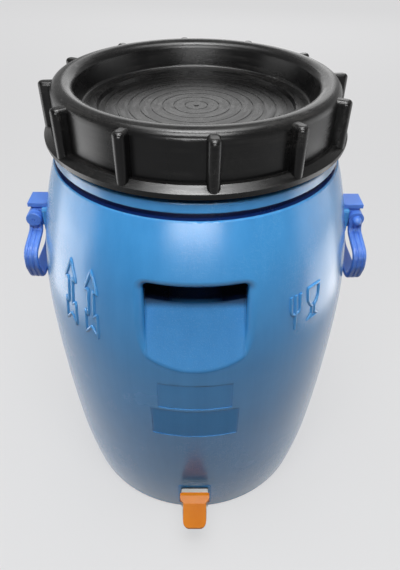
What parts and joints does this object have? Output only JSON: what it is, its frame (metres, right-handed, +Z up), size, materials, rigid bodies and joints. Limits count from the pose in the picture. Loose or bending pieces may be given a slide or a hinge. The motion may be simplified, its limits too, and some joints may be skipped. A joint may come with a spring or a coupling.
{
  "type": "plastic drum with tap",
  "caption": "Barrel-shaped plastic drum with a ribbed screw lid, loop handles at the sides, a hand-hold in the front and a lever tap near the base.",
  "frame": {"origin": "centre of the flat base, on the drum's axis", "axes": "+Z up along the drum's axis, -Y towards the front with the tap and the hand-hold, +X to the right seen from the front"},
  "size_m": [0.4352, 0.4428, 0.6],
  "materials": {
    "drum_plastic": "satin",
    "lid_plastic": "satin",
    "handle_plastic": "satin",
    "tap_plastic": "satin",
    "lever_plastic": "satin",
    "seal_rubber": "matte",
    "steel": "bright"
  },
  "bodies": {
    "drum": {"drum_body": "drum_plastic", "right_handle_bracket": "handle_plastic", "left_handle_bracket": "handle_plastic", "right_handle_pin": "handle_plastic", "left_handle_pin": "handle_plastic", "tap_body": "tap_plastic", "tap_flange_gasket": "seal_rubber", "tap_inner_washer": "seal_rubber", "tap_backnut": "tap_plastic", "tap_bonnet": "tap_plastic", "stem_o_ring": "seal_rubber", "return_spring": "steel", "lever_pivot_pin": "steel"},
    "lid_seal": {"lid_gasket": "seal_rubber"},
    "lid": {"screw_lid": "lid_plastic"},
    "right_loop": {"right_handle": "handle_plastic"},
    "left_loop": {"left_handle": "handle_plastic"},
    "lever": {"tap_lever": "lever_plastic"},
    "stem": {"tap_stem": "tap_plastic", "tap_seat_seal": "seal_rubber", "stem_cross_pin": "steel"}
  },
  "joints": [
    {"name": "lid_lift", "type": "slide", "parent": "drum", "child": "lid_seal", "axis": [0, 0, 1], "range_m": [0, 0.0601]},
    {"name": "lid_turn", "type": "hinge", "parent": "lid_seal", "child": "lid", "pos_m": [0, 0, 0.57], "axis": [0, 0, 1], "range_deg": [0, 1080]},
    {"name": "right_handle_swing", "type": "hinge", "parent": "drum", "child": "right_loop", "pos_m": [0.2046, 0, 0.428], "axis": [0, -1, 0], "range_deg": [0, 175]},
    {"name": "left_handle_swing", "type": "hinge", "parent": "drum", "child": "left_loop", "pos_m": [-0.2046, 0, 0.428], "axis": [0, 1, 0], "range_deg": [0, 175]},
    {"name": "lever_lift", "type": "hinge", "parent": "drum", "child": "lever", "pos_m": [0, -0.20395, 0.079], "axis": [-1, 0, 0], "range_deg": [0, 25], "stiffness_Nm_per_rad": 0.098, "springref_deg": -25.78},
    {"name": "stem_lift", "type": "slide", "parent": "drum", "child": "stem", "axis": [0, 0, 1], "range_m": [0, 0.0049], "deforming": ["return_spring"]}
  ],
  "couplings": [
    {"joint": "lid_lift", "follows": "lid_turn", "m_per_rad": 0.0031831},
    {"joint": "stem_lift", "follows": "lever_lift", "m_per_rad": 0.01108}
  ]
}
